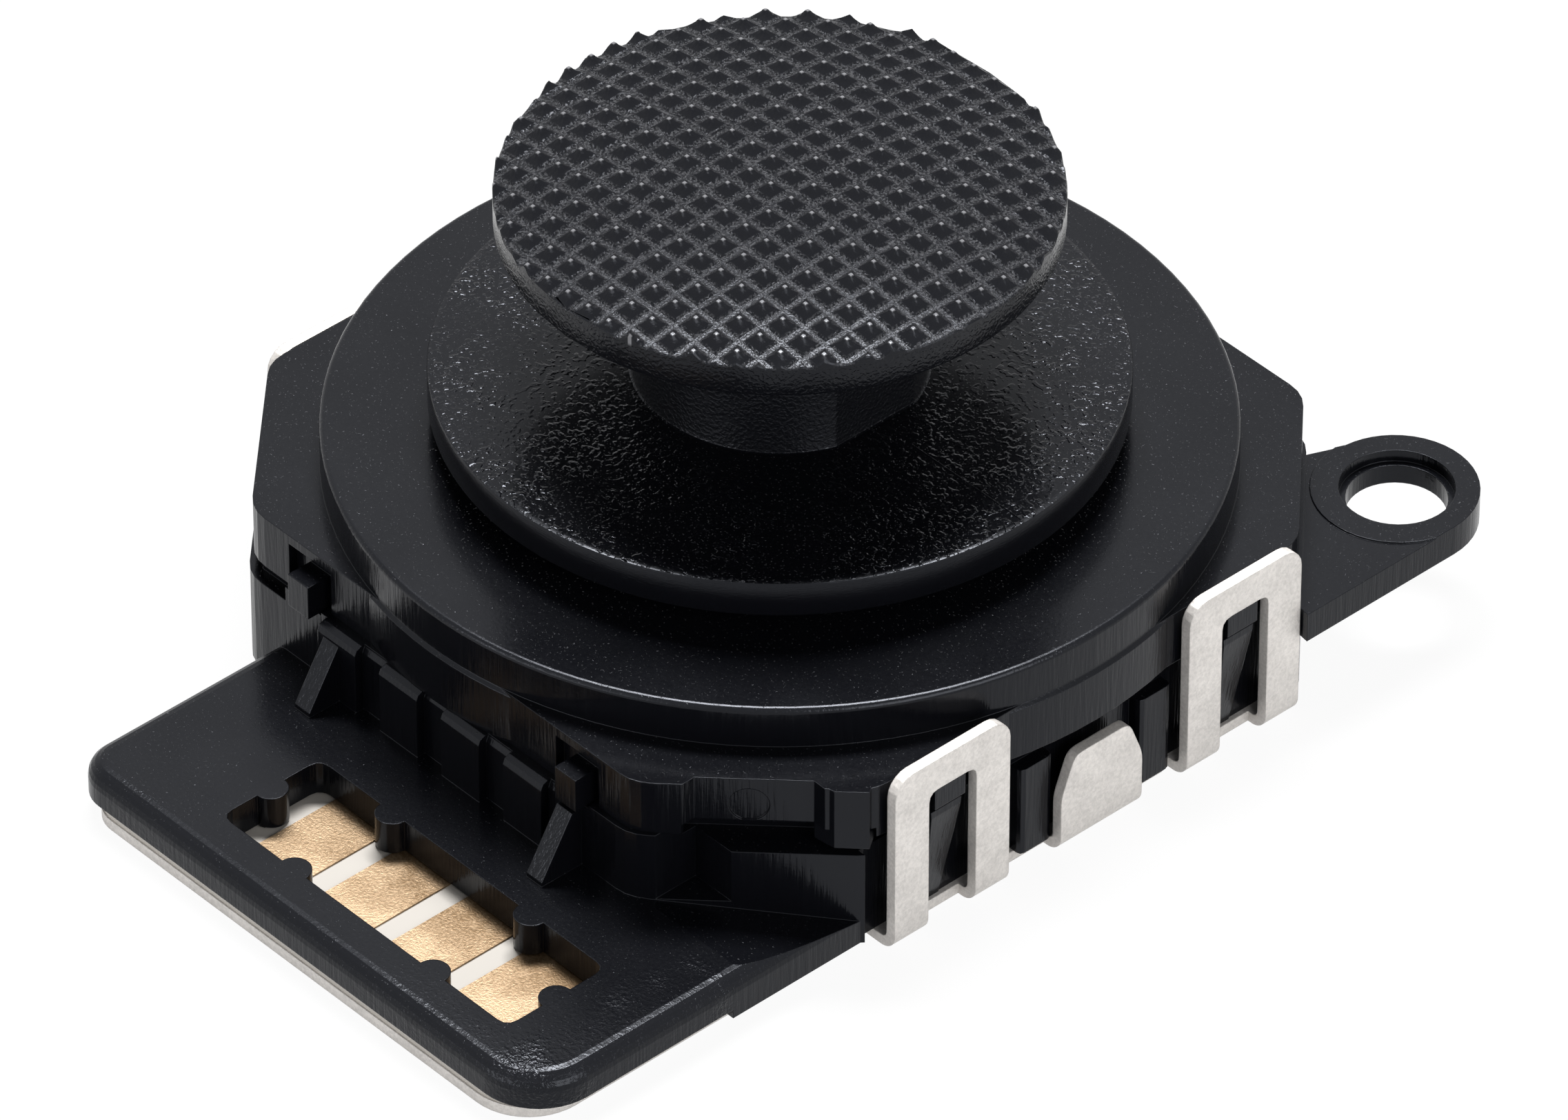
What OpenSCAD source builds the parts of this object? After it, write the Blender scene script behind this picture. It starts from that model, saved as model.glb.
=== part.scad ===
// Sliding thumbstick module of a handheld console.
// X points to the face with the two clips that shows, Y away from the flange, Z up.
// The origin is on the stick's axis, on the plane that the base plate rests on.

/* [Cases] */
// How far the cases' straight sides stand inside the drum's edge
side_in = 0.215; // [0.1:0.005:0.4]
// Leg of the chamfer on each corner of the cases
corner_leg = 4.1; // [3:0.1:5]
// Wall of the two cases
wall = 1.5; // [1.2:0.1:1.6]
// Height of the seam between the two cases
seam_z = 3.5; // [3.4:0.1:4.5]
// Height of the upper case's side above the seam
upper_side_h = 1.55; // [1.2:0.05:2]
// How far the lower case stands proud of the upper one
lower_proud = 0.15; // [0.05:0.05:0.3]
// Softening of the cases' outer corners
corner_soft = 0.5; // [0.2:0.1:1]

/* [Drum] */
// Diameter of the round drum on the upper case
drum_d = 22.73; // [22:0.01:25]
// Height of the drum above the upper case's plate
drum_h = 1.15; // [0.8:0.05:2]
// Thickness of the drum's top
drum_top_t = 1; // [0.8:0.05:1.2]
// Radius of the drum's upper edge
drum_edge_r = 0.14; // [0.05:0.01:0.3]
// How far the drum's skirt swells where it runs out through the sides
drum_skirt = 0.09; // [0.02:0.01:0.2]

/* [Flange] */
// Width of the contact flange along X
flange_w = 17.1; // [16:0.1:18]
// Offset of the flange's middle from the stick's axis along X
flange_x = 2.45; // [2:0.05:3]
// Reach of the flange from the cases' face
flange_reach = 6.75; // [6.2:0.1:8]
// Height of the flange's top
flange_z = 1.5; // [1.3:0.05:1.8]
// Radius of the flange's outer corner on the ear's side
flange_corner_r = 1.75; // [1:0.05:2.5]
// Radius of the flange's other outer corner
flange_left_r = 1.05; // [0.8:0.05:2.5]
// Height of the flange's underside, over the film and the steel
flange_low = 0.56; // [0.5:0.01:0.7]
// Radius of the rounding round the flange's top
flange_round = 0.45; // [0.2:0.05:0.6]

/* [Contact window] */
// Width of the window along X
window_w = 10.5; // [10:0.1:11]
// Depth of the window along Y
window_d = 3.15; // [2.5:0.05:3.4]
// Offset of the window's middle from the flange's middle
window_off = 0.9; // [0.5:0.05:1.2]
// Land between the window and the flange's outer edge
window_land = 1.3; // [1:0.05:1.6]
// Radius of the window's corners
window_corner_r = 0.35; // [0.2:0.05:0.6]
// Radius of the nubs that point into the window
nub_r = 0.44; // [0.3:0.02:0.5]
// Distance between the two nubs on a long side
nub_pitch = 5.1; // [4:0.1:6]

/* [Contacts] */
// Thickness of the circuit film
film_t = 0.2; // [0.1:0.05:0.25]
// Thickness of the gold pads and printed tracks
print_t = 0.05; // [0.03:0.01:0.08]
// Number of contact pads
pad_count = 4; // [4:1:4]
// Distance from pad to pad
pad_pitch = 2.46; // [2.2:0.02:2.5]
// Width of a pad
pad_w = 1.8; // [1.4:0.02:2]
// Length of a pad
pad_l = 3.7; // [3.2:0.1:3.9]
// Offset of the row of pads from the window's middle
pad_row_off = -0.13; // [-0.3:0.01:0.2]

/* [Base plate] */
// Thickness of the steel sheet
sheet_t = 0.3; // [0.2:0.05:0.35]
// Outer radius of the sheet's bends
bend_r = 0.5; // [0.4:0.05:0.7]
// How far the plate stays inside the flange's edge
plate_inset = 0.06; // [0.02:0.02:0.3]
// How much further it stays inside the flange's two short sides
plate_side = 0.38; // [0:0.02:0.5]
// How far the film stays inside the plate's edge
film_inset = 0.04; // [0.02:0.02:0.2]
// Width of a window clip
clip_w = 3.76; // [3.6:0.02:4.2]
// Height of a window clip
clip_h = 5.36; // [5.1:0.02:6]
// How much lower the clips on the far side stand
clip_far_drop = 0.43; // [0:0.01:0.45]
// Place of a window clip's middle, as a share of the flat side's half length
clip_share = 0.69; // [0.66:0.01:0.7]
// Air between a clip and the upper case
clip_gap = 0.14; // [0.12:0.01:0.25]
// Width of a clip's window
clip_window_w = 1.56; // [1.4:0.02:1.7]
// How far the plate's edge between a clip's legs stays inside the case's side
clip_throat = 0.18; // [0.15:0.01:0.3]
// Upper edge of a clip's window
clip_window_top = 4.42; // [4.2:0.02:4.6]
// Radius of a clip's outer corners
clip_corner_r = 0.6; // [0.3:0.05:0.8]
// Width of the middle tab at its foot
tab_w = 2.7; // [2.4:0.1:2.9]
// Width of the middle tab at its top
tab_top_w = 1.8; // [1.4:0.1:2.1]
// Offset of the middle tab from the side's middle
tab_off = 0.1; // [0:0.05:0.15]
// Height of the middle tab
tab_h = 2.9; // [2.6:0.05:3.2]

/* [Mounting ear] */
// Distance from the clip side's face in to the screw hole's middle
ear_in = 1.38; // [1.3:0.01:1.8]
// Distance from the back face out to the screw hole's middle
ear_off = 0.65; // [0.5:0.05:1.1]
// Outer radius of the ear
ear_r = 2.07; // [1.9:0.01:2.2]
// Radius of the screw hole
ear_hole_r = 1.28; // [0.9:0.01:1.3]
// Radius of the recess round the screw hole
ear_recess_r = 1.46; // [1.4:0.02:1.6]
// Depth of the recess round the screw hole
ear_recess_h = 0.3; // [0.15:0.05:0.4]
// Thickness of the ear
ear_t = 0.85; // [0.7:0.05:1]
// Height of the ear's top
ear_z = 3.3; // [3:0.05:3.4]

/* [Stick] */
// Diameter of the thumb cap
cap_d = 14; // [12:0.1:16]
// Height of the underside of the cap's lip
cap_lip_z = 12.32; // [11.5:0.01:14]
// Height of the cap's lip
cap_lip_h = 0.89; // [0.5:0.01:1.1]
// Rise of the cap's dome from its rim to its middle
dome_rise = 0.7; // [0.5:0.05:1.4]
// Flat rim outside the knurl
rim_w = 0.05; // [0.03:0.01:0.4]
// Distance from knurl to knurl
knurl_pitch = 0.74; // [0.7:0.01:1.2]
// Offset of the knurls' lattice from the stick's axis along X
knurl_x = -0.2; // [-0.4:0.01:0.4]
// Offset of the lattice along Y
knurl_y = -0.05; // [-0.4:0.01:0.4]
// Height of a knurl
knurl_h = 0.26; // [0.1:0.01:0.35]
// Width of the groove between knurls
knurl_groove = 0.12; // [0.06:0.01:0.2]
// Diameter of the cap's neck
neck_d = 7.36; // [6.4:0.02:8]
// Distance across the neck's two flats
neck_flats = 6.9; // [6:0.02:7.2]
// Diameter of the cover disc
disc_d = 17.36; // [16.4:0.02:18]
// Height of the cover disc's top
disc_z = 7.93; // [7.6:0.01:9]
// Thickness of the cover disc's rim
disc_t = 1.03; // [0.8:0.01:1.1]
// Thickness of the cover disc's web
disc_web = 0.6; // [0.5:0.05:0.7]
// Side of the square post that carries the cap
post_side = 3; // [2.6:0.1:3]
// Diameter of the round stem under the cover disc
stem_d = 4.4; // [4.3:0.1:4.6]
// Diameter of the collar under the cover disc
collar_d = 6.4; // [5:0.1:6.6]
// Travel of the stick to each side, as a share of the cases' inner half width
travel_share = 0.228; // [0.18:0.002:0.23]
// Flare at the top of the cap's neck
neck_flare = 0.3; // [0.2:0.05:0.6]
// Plastic over the post's socket in the cap
socket_roof = 1.53; // [1.2:0.01:2]
// Softening of the cap's lip
lip_soft = 0.08; // [0.04:0.01:0.15]

/* [Sliders] */
// Thickness of a slider
slider_t = 1.2; // [0.9:0.05:1.2]
// Half width of a slider's bar, as a share of the cases' inner half width
bar_share = 0.311; // [0.28:0.001:0.315]
// Half length of a slider's runner, as the same share
runner_share = 0.363; // [0.33:0.001:0.38]
// Distance from the middle to a runner's inner edge, as the same share
runner_in_share = 0.715; // [0.7:0.001:0.73]
// Guide wall outside a runner
guide_t = 0.55; // [0.4:0.05:0.6]
// Outer diameter of a return spring
spring_d = 1.1; // [0.8:0.05:1.1]
// Wire of a return spring
spring_wire = 0.16; // [0.1:0.01:0.2]
// Land of a runner at each end of its spring
spring_land = 1; // [0.8:0.1:1.2]
// Turns of a return spring
spring_turns = 9; // [6:1:12]

/* [Clearances] */
// Running clearance between a slider and what guides it
run_gap = 0.05; // [0.03:0.01:0.08]
// Clearance between a seated piece and its pocket
fit_gap = 0.1; // [0.05:0.01:0.12]
// Clearance between a wiper's tip and its track
wipe_gap = 0.03; // [0.02:0.01:0.05]

/* [Hidden] */
$fn = 64;
// A hair that cutting shapes run past the face they cut
over = 0.01;
half_w = drum_d / 2 - side_in;
half_d = half_w;
plate_top = seam_z + upper_side_h;
drum_top = plate_top + drum_h;
drum_r = drum_d / 2;
lower_half_w = half_w + lower_proud;
lower_half_d = half_d + lower_proud;
flat_half_w = half_w - corner_leg;
flat_half_d = half_d - corner_leg;
cavity_half_w = half_w - wall;
cavity_half_d = half_d - wall;
flange_y = -half_d - flange_reach;
film_top = sheet_t + film_t;
print_top = film_top + print_t;
window_x = flange_x + window_off;
pad_row_x = window_x + pad_row_off;
window_y = flange_y + window_land + window_d / 2;
pad_y = window_y + fit_gap;
clip_in = half_w + clip_gap;
clip_out = clip_in + sheet_t;
clip_y = flat_half_d * clip_share;
throat_x = half_w - clip_throat;
ear_x = half_w - ear_in;
ear_y = half_d + ear_off;
knurl_top = cap_lip_z + cap_lip_h;
disc_low = disc_z - disc_t;
// The sliders lie one over the other, each a clearance above its ledge
x_slider_z = print_top + 0.55;
x_slider_top = x_slider_z + slider_t;
y_slider_z = x_slider_top + 2 * run_gap;
y_slider_top = y_slider_z + slider_t;
x_ledge_top = x_slider_z - run_gap;
y_ledge_top = y_slider_z - run_gap;
post_half = post_side / 2;
slot_half = post_half + run_gap;
// Each pair is for the motion along X, then for the motion along Y
travels = [cavity_half_w, cavity_half_d] * travel_share;
bars = [cavity_half_w, cavity_half_d] * bar_share;
runners = [cavity_half_w, cavity_half_d] * runner_share;
stops = runners + travels + [fit_gap, fit_gap];
// A slider that moves along X has its runners across Y, so these are the other way round
runner_ins = [cavity_half_d, cavity_half_w] * runner_in_share;
runner_outs = [cavity_half_d, cavity_half_w] - [guide_t, guide_t];
runner_mids = (runner_ins + runner_outs) / 2;
spring_lens = 2 * (runners - [spring_land, spring_land]);
stem_z = y_slider_top + run_gap;
foot_z = print_top + 0.17;
foot_half = post_half + 0.5;
opening_gap = 0.2;
opening_r = stem_d / 2 + norm(travels) + opening_gap;
// Places of what reads the stick's position
x_track_y = -cavity_half_d * 0.57;
y_track_x = cavity_half_w * 0.622;
track_gap = 0.6;
track_w = 0.45;
track_spare = 0.9;
leg_half = 1.4;
leg_w = 1.1;
wiper_t = 0.1;
// Catches of the upper case on the flange side
catch_x = [-flat_half_w * 0.674, flat_half_w * 0.726];
catch_w = 0.75;
catch_low = seam_z - 0.08;
catch_top = seam_z + 0.9;
catch_proud = 0.48;
catch_depth = 0.55;
catch_slot = 0.26;
// The slots round the catches stop under the plate's top edge
slot_x = [-flat_half_w * 0.688, flat_half_w * 0.713];
slot_half_w = 0.78;
slot_under = 0.26;
// Castellation of the lower case above the flange
block_pitch = flat_half_w * 0.325;
block_first = -flat_half_w * 0.5745;
block_w = block_pitch * 0.61;
block_count = 4;
block_proud = 0.33;
recess_proud = 0.08;
// Gussets between the lower case and its flange
gusset_x = [-flat_half_w * 0.5035, flat_half_w * 0.717];
gusset_t = 0.55;
gusset_out = 1.3;
gusset_h = 1.75;
gusset_toe = 0.12;
gusset_head = 0.3;
// The flange's top falls towards the clips beside the front corner
flange_drop = 0.55;
// Panel on the front corner of the upper case
panel_depth = 0.28;
panel_z = seam_z + 0.26;
mark_r = 0.5;
mark_depth = 0.06;
panel_end = 1.45;
corner_low_z = seam_z - 0.43;
// The left corner's wall has a step on its outside
left_step = 0.25;
corner_low_t = 0.9;
corner_block_z = seam_z - 0.22;
corner_block_out = 0.09;
// Posts of the lower case beside the middle tab
bar_w = 1.05;
// Relief notches beside each bend of the steel
notch_r = 0.25;
bar_y = [-flat_half_d * 0.245, flat_half_d * 0.316];
bar_top = seam_z - 0.55;
bar_out = half_w + 0.06;
side_x = half_w - 0.33;
// Blocks that the clips' windows catch on
hook_w = 1;
hook_z = 3.68;
hook_h = 0.66;
hook_proud = 0.34;
wedge_out = 0.2;
wedge_in = 0.2;
wedge_foot = 0.22;
wedge_toe = 0.04;
wedge_top = 0.2;
ear_low = ear_z - ear_t;
ear_boss_r = 2.27;
ear_boss_h = 0.04;

// Replaces each corner of an outline by a short curve that starts `cut` from it
function soft(points, cut, steps = 3) = [
    for (i = [0 : len(points) - 1])
        let (
            p = points[i],
            before = points[(i + len(points) - 1) % len(points)],
            after = points[(i + 1) % len(points)],
            start = p + (before - p) * cut / norm(before - p),
            end = p + (after - p) * cut / norm(after - p)
        )
        for (k = [0 : steps])
            let (t = k / steps)
            (1 - t) * (1 - t) * start + 2 * t * (1 - t) * p + t * t * end
];

// An outline of a rectangle with chamfered corners
function chamfered(half_x, half_y, leg) = [
    [half_x, -half_y + leg], [half_x, half_y - leg],
    [half_x - leg, half_y], [-half_x + leg, half_y],
    [-half_x, half_y - leg], [-half_x, -half_y + leg],
    [-half_x + leg, -half_y], [half_x - leg, -half_y]
];

function rectangle(x0, x1, y0, y1) = [[x0, y0], [x1, y0], [x1, y1], [x0, y1]];

module block(x0, x1, y0, y1, z0, z1) {
    translate([x0, y0, z0])
        cube([x1 - x0, y1 - y0, z1 - z0]);
}

module prism(points, z0, z1) {
    translate([0, 0, z0])
        linear_extrude(z1 - z0)
            polygon(points);
}

// Stands an outline drawn in Y and Z up at x0, and gives it thickness along X
module side_prism(points, x0, x1) {
    translate([x0, 0, 0])
        rotate([90, 0, 90])
            linear_extrude(x1 - x0)
                polygon(points);
}

module both_ways() {
    children();
    rotate([0, 0, 180])
        children();
}

// The dome's height over its rim at a distance from the axis
dome_r = ((cap_d / 2) ^ 2 + dome_rise ^ 2) / (2 * dome_rise);
function dome(r) = dome_rise - dome_r + sqrt(dome_r ^ 2 - r ^ 2);

// Lines of the knurl's lattice: each knurl has a foot, a tip and a foot
knurl_r = cap_d / 2 - rim_w;
knurl_rings = ceil(knurl_r / knurl_pitch + 0.5);
knurl_foot = (knurl_pitch - knurl_groove) / 2;
function knurl_lines(shift) = [
    for (i = [-knurl_rings : knurl_rings])
        for (step = [-knurl_foot, 0, knurl_foot])
            if (abs(shift + i * knurl_pitch + step) < knurl_r - over) shift + i * knurl_pitch + step
];
knurl_xs = knurl_lines(knurl_x);
knurl_ys = knurl_lines(knurl_y);
function knurl_off(v) = abs(v - knurl_pitch * round(v / knurl_pitch));
function knurl_rise(x, y) =
    knurl_h * max(0, 1 - max(knurl_off(x - knurl_x), knurl_off(y - knurl_y)) / knurl_foot);
function knurl_point(x, y) = [x, y, knurl_top + dome(norm([x, y])) + knurl_rise(x, y)];

// The lines that cross the row at y inside the cap's rim
function row_lines(y) =
    let (reach = sqrt(knurl_r ^ 2 - y ^ 2))
    [for (i = [0 : len(knurl_xs) - 1]) if (abs(knurl_xs[i]) < reach - knurl_groove / 4) i];

// One end of the strip between two rows: a fan from the shorter row's end, turned over where needed
function strip_end(corner, inner, fan, flipped) = [
    for (t = concat([[corner, inner, fan[0]]], [for (k = [0 : len(fan) - 2]) [corner, fan[k], fan[k + 1]]]))
        flipped ? [t[0], t[2], t[1]] : t
];

module knurl() {
    rows = [for (y = knurl_ys) row_lines(y)];
    count = len(rows);
    starts = [for (j = 0, s = 1; j < count; s = s + len(rows[j]) + 2, j = j + 1) s];
    last = starts[count - 1] + len(rows[count - 1]) + 2;
    top_points = concat(
        [knurl_point(0, -knurl_r)],
        [
            for (j = [0 : count - 1])
                let (y = knurl_ys[j], reach = sqrt(knurl_r ^ 2 - y ^ 2))
                for (x = concat([-reach], [for (i = rows[j]) knurl_xs[i]], [reach]))
                    knurl_point(x, y)
        ],
        [knurl_point(0, knurl_r)]);
    // Where the lattice line i stands in the list of points, in row j
    function at(j, i) = starts[j] + 1 + i - rows[j][0];
    function left(j) = starts[j];
    function right(j) = starts[j] + len(rows[j]) + 1;
    strips = [
        for (j = [0 : count - 2])
            let (
                short = len(rows[j]) < len(rows[j + 1]) ? j : j + 1,
                long = short == j ? j + 1 : j,
                first = rows[short][0],
                final = rows[short][len(rows[short]) - 1],
                turned = short == j,
                left_fan = [for (k = [at(long, first) : -1 : left(long)]) k],
                right_fan = [for (k = [at(long, final) : right(long)]) k]
            )
            for (f = concat(
                [
                    for (i = [first : final - 1])
                        let (
                            a = at(j, i), b = at(j, i + 1), c = at(j + 1, i + 1), d = at(j + 1, i),
                            // The diagonal of each corner of a knurl runs down from its tip
                            falls = knurl_rise(knurl_xs[i], knurl_ys[j + 1])
                                + knurl_rise(knurl_xs[i + 1], knurl_ys[j]) > 0
                        )
                        for (t = falls ? [[a, b, d], [b, c, d]] : [[a, b, c], [a, c, d]]) t
                ],
                strip_end(left(short), at(short, first), left_fan, !turned),
                strip_end(right(short), at(short, final), right_fan, turned)))
                f
    ];
    poles = concat(
        [for (k = [left(0) : right(0) - 1]) [0, k + 1, k]],
        [for (k = [left(count - 1) : right(count - 1) - 1]) [k, k + 1, last]]);
    rim = concat(
        [0], [for (j = [0 : count - 1]) right(j)],
        [last], [for (j = [count - 1 : -1 : 0]) left(j)]);
    low_points = [for (k = rim) [top_points[k][0], top_points[k][1], knurl_top - over]];
    side_faces = [
        for (k = [0 : len(rim) - 1])
            let (next = (k + 1) % len(rim))
            [rim[k], rim[next], last + 1 + next, last + 1 + k]
    ];
    polyhedron(
        concat(top_points, low_points),
        concat([for (f = concat(strips, poles)) [f[2], f[1], f[0]]], side_faces,
            [[for (k = [0 : len(rim) - 1]) last + 1 + k]]),
        convexity = 10);
}

module thumb_cap() {
    lip_r = cap_d / 2;
    color([0.08, 0.08, 0.09]) {
        knurl();
        difference() {
            rotate_extrude($fn = 128)
                polygon([
                    [0, disc_z], [neck_d / 2, disc_z],
                    [neck_d / 2, cap_lip_z - neck_flare], [neck_d / 2 + neck_flare, cap_lip_z + lip_soft],
                    [lip_r - neck_flare, cap_lip_z], [lip_r - lip_soft, cap_lip_z + lip_soft / 2],
                    [lip_r, cap_lip_z + 2 * lip_soft], [lip_r, knurl_top - lip_soft / 2],
                    [lip_r - lip_soft / 2, knurl_top], [0, knurl_top]
                ]);
            both_ways()
                block(neck_flats / 2, neck_d, -neck_d, neck_d, disc_z - over, cap_lip_z - neck_flare);
            block(-post_half, post_half, -post_half, post_half, disc_z - over, post_top());
        }
    }
}

function post_top() = knurl_top - socket_roof;

module cover_disc() {
    edge = 0.06;
    r = disc_d / 2;
    color([0.1, 0.1, 0.11])
        difference() {
            rotate_extrude($fn = 128)
                polygon([
                    [0, disc_low], [collar_d / 2 + 0.3, disc_low], [collar_d / 2 + 0.6, disc_z - disc_web],
                    [r - 0.9, disc_z - disc_web], [r - 0.6, disc_low], [r - edge, disc_low],
                    [r, disc_low + edge], [r, disc_z - edge], [r - edge, disc_z], [0, disc_z]
                ]);
            block(-post_half, post_half, -post_half, post_half, disc_low - over, disc_z + over);
        }
}

module stick_post() {
    color([0.75, 0.75, 0.72]) {
        block(-post_half, post_half, -post_half, post_half, foot_z, post_top());
        block(-foot_half, foot_half, -post_half, post_half, foot_z, x_ledge_top);
        translate([0, 0, stem_z])
            cylinder(d = stem_d, h = disc_low - stem_z);
        translate([0, 0, drum_top + 0.25])
            cylinder(d = collar_d, h = disc_low - drum_top - 0.25);
    }
}

// The room inside both cases
module cavity(z0, z1) {
    prism(chamfered(cavity_half_w, cavity_half_d, corner_leg), z0, z1);
}

module drum(r) {
    steps = 4;
    arc = [for (k = [0 : steps]) let (a = 90 * k / steps)
        [r - drum_edge_r + drum_edge_r * cos(a), drum_top - drum_edge_r + drum_edge_r * sin(a)]];
    rotate_extrude($fn = 128)
        polygon(concat(
            [[0, seam_z], [r + drum_skirt, seam_z]],
            [[r + drum_skirt, plate_top - drum_skirt], [r, plate_top]],
            arc, [[0, drum_top]]));
}

// A solid on the front corner's chamfer: u runs along it, out of the corner is positive
module on_front_corner() {
    translate([half_w - corner_leg / 2, -half_d + corner_leg / 2, 0])
        rotate([0, 0, -45])
            children();
}

module upper_case() {
    rib_x = runner_mids[1] - spring_d / 2;
    color([0.09, 0.09, 0.1])
        difference() {
            union() {
                difference() {
                    union() {
                        prism(soft(chamfered(half_w, half_d, corner_leg), corner_soft), seam_z, plate_top);
                        drum(drum_r);
                    }
                    // The deep room under the drum, and the shallow one under the plate
                    translate([0, 0, seam_z - over])
                        cylinder(r = drum_r - wall, h = drum_top - drum_top_t - seam_z + over, $fn = 96);
                    cavity(seam_z - over, plate_top - 0.8);
                    // Slots round the catches
                    for (x = slot_x)
                        block(x - slot_half_w, x + slot_half_w,
                            -half_d - wall, -half_d + catch_slot, seam_z - over, plate_top - slot_under);
                    on_front_corner()
                        upper_corner_cut();
                }
                // Ribs that hold the upper slider down on its ledges
                both_ways()
                    block(rib_x, rib_x + spring_d, -runners[1], runners[1],
                        y_slider_top + run_gap, drum_top - drum_top_t + over);
                for (x = catch_x)
                    block(x - catch_w / 2, x + catch_w / 2,
                        -half_d - catch_proud, -half_d + catch_depth - fit_gap, catch_low, catch_top);
                for (turn = [0, 180])
                    rotate([0, 0, turn])
                        for (side = [-1, 1])
                            translate([half_w - over, side * clip_y - hook_w / 2, hook_z])
                                cube([hook_proud + over, hook_w, hook_h]);
                on_front_corner()
                    prism([
                        [-corner_low_t / 2, panel_end], [-panel_depth, panel_end],
                        [corner_block_out, panel_end + 0.5], [corner_block_out, panel_end + 1.35],
                        [-corner_low_t / 2, panel_end + 1.45]
                    ], corner_block_z, plate_top);
            }
            // The opening that the stem moves in
            translate([0, 0, drum_top - drum_top_t - over])
                cylinder(r = opening_r, h = drum_top_t + 2 * over, $fn = 96);
        }
}

module upper_corner_cut() {
    far = 0.35;
    flare = 0.6;
    prism([
        [-panel_depth, -panel_end], [far, -panel_end - flare],
        [far, panel_end + flare], [-panel_depth, panel_end]
    ], panel_z, plate_top + over);
    block(-2 * panel_depth, 2, -panel_end - 0.3, panel_end + 1.5, seam_z - over, panel_z + over);
    translate([-panel_depth + over, -0.12, (panel_z + plate_top) / 2 - 0.16])
        rotate([0, -90, 0])
            cylinder(r = mark_r, h = mark_depth + over, $fn = 24);
}

// The flange, rounded round its top
module flange() {
    x0 = flange_x - flange_w / 2;
    x1 = flange_x + flange_w / 2;
    y1 = -flat_half_d - over;
    low = sheet_t;
    intersection() {
        union() {
            side_prism(flange_edge(flange_y, y1),
                x0 + flange_left_r, x1 - flange_corner_r);
            for (side = [0, 1]) {
                r = side == 0 ? flange_left_r : flange_corner_r;
                x = side == 0 ? x0 : x1;
                in = side == 0 ? 1 : -1;
                // The short side beside the outer corner, and the corner
                translate([0, y1, 0])
                    rotate([90, 0, 0])
                        linear_extrude(y1 - flange_y - r)
                            polygon([for (p = flange_edge(0, r + over)) [x + in * p[0], p[1]]]);
                translate([x + in * r, flange_y + r, 0])
                    rotate_extrude()
                        polygon(concat(
                            [[0, low]],
                            [for (p = flange_edge(0, r)) if (p[0] < r) [r - p[0], p[1]]],
                            [[0, flange_z]]));
            }
        }
        // The top falls towards the front corner
        side_prism([
            [flange_y - 1, 0], [y1 + 1, 0],
            [y1 + 1, flange_z - flange_drop], [y1, flange_z - flange_drop],
            [-half_d, flange_z + over], [flange_y - 1, flange_z + over]
        ], x0 - 1, x1 + 1);
    }
}

// Section of the flange's rounded edge: from the edge at v0 in to v1
function flange_edge(v0, v1) = concat(
    [[v1, sheet_t], [v0, sheet_t]],
    [for (k = [0 : 5]) let (a = 90 * k / 5)
        [v0 + flange_round * (1 - cos(a)), flange_z - flange_round * (1 - sin(a))]],
    [[v1, flange_z]]);

// The flange's outline, and what lies under it when that is inset
module flange_outline(inset, y1, side = 0) {
    x0 = flange_x - flange_w / 2 + inset + side;
    x1 = flange_x + flange_w / 2 - inset - side;
    y0 = flange_y + inset;
    left_r = flange_left_r - inset;
    right_r = flange_corner_r - inset;
    union() {
        polygon([[x0, y0 + left_r], [x0 + left_r, y0 + left_r], [x0 + left_r, y0], [x1 - right_r, y0],
            [x1 - right_r, y0 + right_r], [x1, y0 + right_r], [x1, y1], [x0, y1]]);
        translate([x0 + left_r, y0 + left_r])
            circle(r = left_r);
        translate([x1 - right_r, y0 + right_r])
            circle(r = right_r);
    }
}

// The window in the flange, with the nubs that centre what is pressed into it
module window_cut() {
    outline = rectangle(-window_w / 2, window_w / 2, -window_d / 2, window_d / 2);
    translate([window_x, window_y, sheet_t])
        linear_extrude(flange_z)
            difference() {
                polygon(soft(outline, window_corner_r));
                for (x = [-nub_pitch / 2, nub_pitch / 2])
                    for (side = [-1, 1])
                        translate([x, side * window_d / 2])
                            circle(r = nub_r, $fn = 24);
                for (side = [-1, 1])
                    translate([side * window_w / 2, 0])
                        circle(r = nub_r, $fn = 24);
            }
}

module castellation() {
    face = -half_d - lower_proud;
    for (k = [0 : block_count - 1])
        wall_rib(face - block_proud, block_first + k * block_pitch, block_w);
    wall_rib(face - recess_proud, block_first, block_count * block_pitch);
    for (x = gusset_x)
        side_prism([
            [face, flange_z - over], [face - gusset_out, flange_z - over],
            [face - gusset_out, flange_z + gusset_toe], [face - gusset_head, flange_z + gusset_h],
            [face, flange_z + gusset_h]
        ], x - gusset_t / 2, x + gusset_t / 2);
}

// A part of the wall that stands out to y0, rounded at its top edge
module wall_rib(y0, x0, width) {
    roundness = 0.22;
    y1 = -half_d - lower_proud + wall;
    side_prism([
        [y1, flange_z - over], [y0, flange_z - over], [y0, seam_z - roundness],
        [y0 + roundness * 0.3, seam_z - roundness * 0.3], [y0 + roundness, seam_z], [y1, seam_z]
    ], x0, x0 + width);
}

module ear_shape() {
    union() {
        translate([ear_x, ear_y])
            circle(r = ear_r);
        polygon([
            [ear_x, half_d - corner_leg], [ear_x + ear_r, half_d - corner_leg - 0.3],
            [ear_x + ear_r, ear_y], [ear_x, ear_y],
            [ear_x + ear_r * cos(140), ear_y + ear_r * sin(140)],
            [half_w - corner_leg + 0.25, half_d - 0.1],
            [half_w - corner_leg - 0.6, half_d - corner_leg + 1.2]
        ]);
    }
}

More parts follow.
